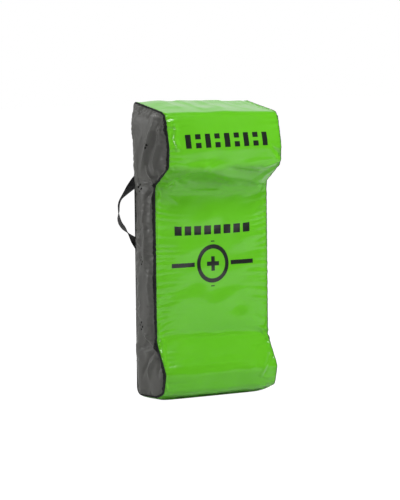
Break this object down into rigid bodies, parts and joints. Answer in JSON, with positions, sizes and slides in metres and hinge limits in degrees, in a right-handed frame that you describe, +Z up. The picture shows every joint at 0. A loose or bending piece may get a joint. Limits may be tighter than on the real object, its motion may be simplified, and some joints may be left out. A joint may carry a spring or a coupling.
{
  "type": "rugby hit shield",
  "caption": "Tall foam-filled tackle shield with a deep head, slim waist and deep foot, a zipped coated cover and webbing hand loops on its back.",
  "frame": {"origin": "middle of the flat of the base, on the surface that the shield stands on", "axes": "+Z up along the shield, -Y the way the striking face looks, +X to the right of someone who faces it"},
  "size_m": [0.4626, 0.2571, 0.8512],
  "materials": {
    "coated_green": "glossy PVC-coated fabric, bright green",
    "coated_grey": "matt coated fabric, mid grey",
    "binding_black": "matt woven seam binding, black",
    "webbing_black": "woven webbing and tape, black",
    "foam_cream": "open-cell foam, cream",
    "zip_plastic": "moulded zip teeth, black",
    "zip_metal": "dull nickel-plated zip hardware"
  },
  "bodies": {
    "cover": {"core_foam": "foam_cream", "head_foam": "foam_cream", "foot_foam": "foam_cream", "front_panel": "coated_green", "left_side_panel": "coated_grey", "right_side_panel": "coated_grey", "back_panel": "coated_grey", "base_flap": "coated_grey", "left_seam_binding": "binding_black", "right_seam_binding": "binding_black", "zip_upper_tape": "webbing_black", "zip_lower_tape": "webbing_black", "zip_teeth": "zip_plastic", "zip_closed_stop": "zip_metal", "zip_open_stop": "zip_metal", "left_handle_base_strip": "webbing_black", "left_handle_upper_tab": "webbing_black", "left_handle_lower_tab": "webbing_black", "right_handle_base_strip": "webbing_black", "right_handle_upper_tab": "webbing_black", "right_handle_lower_tab": "webbing_black"},
    "left_handle": {"left_handle_loop": "webbing_black"},
    "right_handle": {"right_handle_loop": "webbing_black"},
    "zip_slider": {"zip_slider": "zip_metal"},
    "zip_pull": {"zip_pull": "zip_metal"}
  },
  "joints": [
    {"name": "left_handle_swing", "type": "hinge", "parent": "cover", "child": "left_handle", "pos_m": [-0.169, 0.06973, 0.534], "axis": [0, 0, 1], "range_deg": [-105, 15]},
    {"name": "right_handle_swing", "type": "hinge", "parent": "cover", "child": "right_handle", "pos_m": [0.169, 0.06973, 0.534], "axis": [0, 0, 1], "range_deg": [-15, 105]},
    {"name": "zip_slide", "type": "slide", "parent": "cover", "child": "zip_slider", "axis": [1, 0, 0], "range_m": [-0.287, 0]},
    {"name": "zip_pull_turn", "type": "hinge", "parent": "zip_slider", "child": "zip_pull", "pos_m": [0.1435, 0.0672, 0.116], "axis": [0, 0, 1], "range_deg": [-170, 0]}
  ]
}
